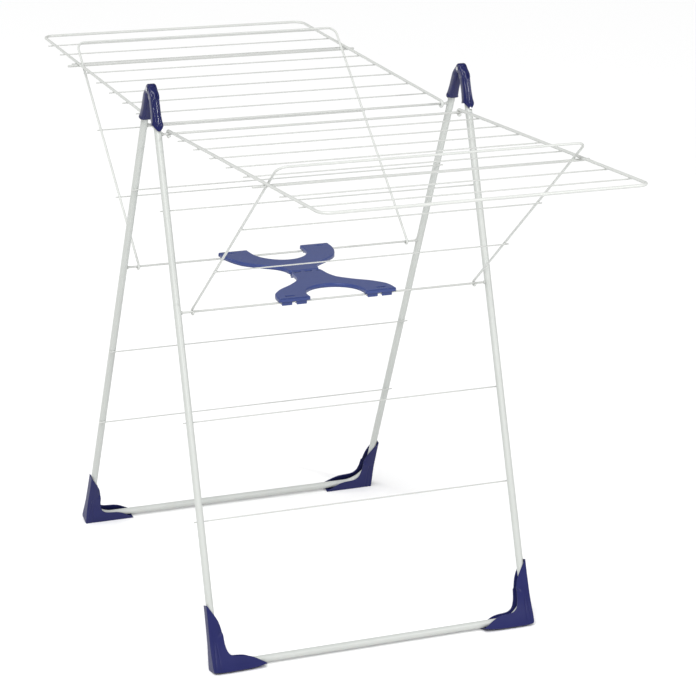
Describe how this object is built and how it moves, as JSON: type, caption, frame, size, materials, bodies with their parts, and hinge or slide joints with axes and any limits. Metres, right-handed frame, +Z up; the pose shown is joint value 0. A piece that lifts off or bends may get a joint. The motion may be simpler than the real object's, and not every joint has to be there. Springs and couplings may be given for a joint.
{
  "type": "clothes drying rack",
  "caption": "Folding indoor clothes airer of white steel wire and tube with hinged leg frames, side wings on wire struts, and blue plastic spreader, caps and feet.",
  "frame": {"origin": "floor centre below the top hinge pins", "axes": "+X along the drying wires, +Y across the leg frames towards the rear wing, +Z up"},
  "size_m": [0.579, 1.326, 0.8965],
  "materials": {
    "coated_steel": "white powder coat",
    "foot": "moulded blue plastic, semi-matt",
    "cap": "moulded navy plastic, glossy",
    "pin": "zinc plated",
    "spreader": "moulded blue plastic, satin"
  },
  "bodies": {
    "front_frame": {"front_leg_tube": "coated_steel", "front_wing_pivot_rod": "coated_steel", "front_strut_rod": "coated_steel", "front_top_wire": "coated_steel", "front_middle_wire": "coated_steel", "front_lower_wire": "coated_steel", "front_left_foot": "foot", "front_right_foot": "foot", "front_left_hinge_cap": "cap", "front_right_hinge_cap": "cap", "left_hinge_pin": "pin", "right_hinge_pin": "pin"},
    "rear_frame": {"rear_leg_tube": "coated_steel", "rear_wing_pivot_rod": "coated_steel", "rear_strut_rod": "coated_steel", "rear_top_wire": "coated_steel", "rear_middle_wire": "coated_steel", "rear_lower_wire": "coated_steel", "rear_left_foot": "foot", "rear_right_foot": "foot", "rear_left_hinge_cap": "cap", "rear_right_hinge_cap": "cap"},
    "front_wing": {"front_wing_rail": "coated_steel", "front_wing_wire_1": "coated_steel", "front_wing_wire_2": "coated_steel", "front_wing_wire_3": "coated_steel", "front_wing_wire_4": "coated_steel", "front_wing_wire_5": "coated_steel", "front_wing_wire_6": "coated_steel", "front_wing_wire_7": "coated_steel", "front_wing_wire_8": "coated_steel"},
    "rear_wing": {"rear_wing_rail": "coated_steel", "rear_wing_wire_1": "coated_steel", "rear_wing_wire_2": "coated_steel", "rear_wing_wire_3": "coated_steel", "rear_wing_wire_4": "coated_steel", "rear_wing_wire_5": "coated_steel", "rear_wing_wire_6": "coated_steel", "rear_wing_wire_7": "coated_steel", "rear_wing_wire_8": "coated_steel"},
    "front_strut": {"front_strut_bow": "coated_steel", "front_strut_crossbar": "coated_steel", "front_strut_upper_wire": "coated_steel", "front_strut_lower_wire": "coated_steel"},
    "rear_strut": {"rear_strut_bow": "coated_steel", "rear_strut_crossbar": "coated_steel", "rear_strut_upper_wire": "coated_steel", "rear_strut_lower_wire": "coated_steel"},
    "spreader_front": {"spreader_front_half": "spreader", "spreader_pin": "pin"},
    "spreader_rear": {"spreader_rear_half": "spreader"}
  },
  "joints": [
    {"name": "frame_fold", "type": "hinge", "parent": "front_frame", "child": "rear_frame", "pos_m": [0, 0, 0.888], "axis": [-1, 0, 0], "range_deg": [0, 39]},
    {"name": "spreader_front_fold", "type": "hinge", "parent": "front_frame", "child": "spreader_front", "pos_m": [0, -0.13511, 0.54643], "axis": [1, 0, 0], "range_deg": [0, 65.1]},
    {"name": "spreader_rear_fold", "type": "hinge", "parent": "spreader_front", "child": "spreader_rear", "pos_m": [0, 0, 0.54583], "axis": [-1, 0, 0], "range_deg": [0, 169.19]},
    {"name": "front_wing_lift", "type": "hinge", "parent": "front_frame", "child": "front_wing", "pos_m": [0, -0.03511, 0.81971], "axis": [-1, 0, 0], "range_deg": [0, 25]},
    {"name": "rear_wing_lift", "type": "hinge", "parent": "rear_frame", "child": "rear_wing", "pos_m": [0, 0.03511, 0.81971], "axis": [1, 0, 0], "range_deg": [0, 25]},
    {"name": "front_strut_lift", "type": "hinge", "parent": "front_frame", "child": "front_strut", "pos_m": [0, -0.13511, 0.54643], "axis": [-1, 0, 0], "range_deg": [0, 21.5]},
    {"name": "rear_strut_lift", "type": "hinge", "parent": "rear_frame", "child": "rear_strut", "pos_m": [0, 0.13511, 0.54643], "axis": [1, 0, 0], "range_deg": [0, 21.5]}
  ],
  "couplings": [
    {"joint": "spreader_front_fold", "follows": "frame_fold", "ratio": 1.6689},
    {"joint": "spreader_rear_fold", "follows": "frame_fold", "ratio": 4.3378},
    {"joint": "front_strut_lift", "follows": "front_wing_lift", "ratio": 0.85},
    {"joint": "rear_strut_lift", "follows": "rear_wing_lift", "ratio": 0.85}
  ]
}
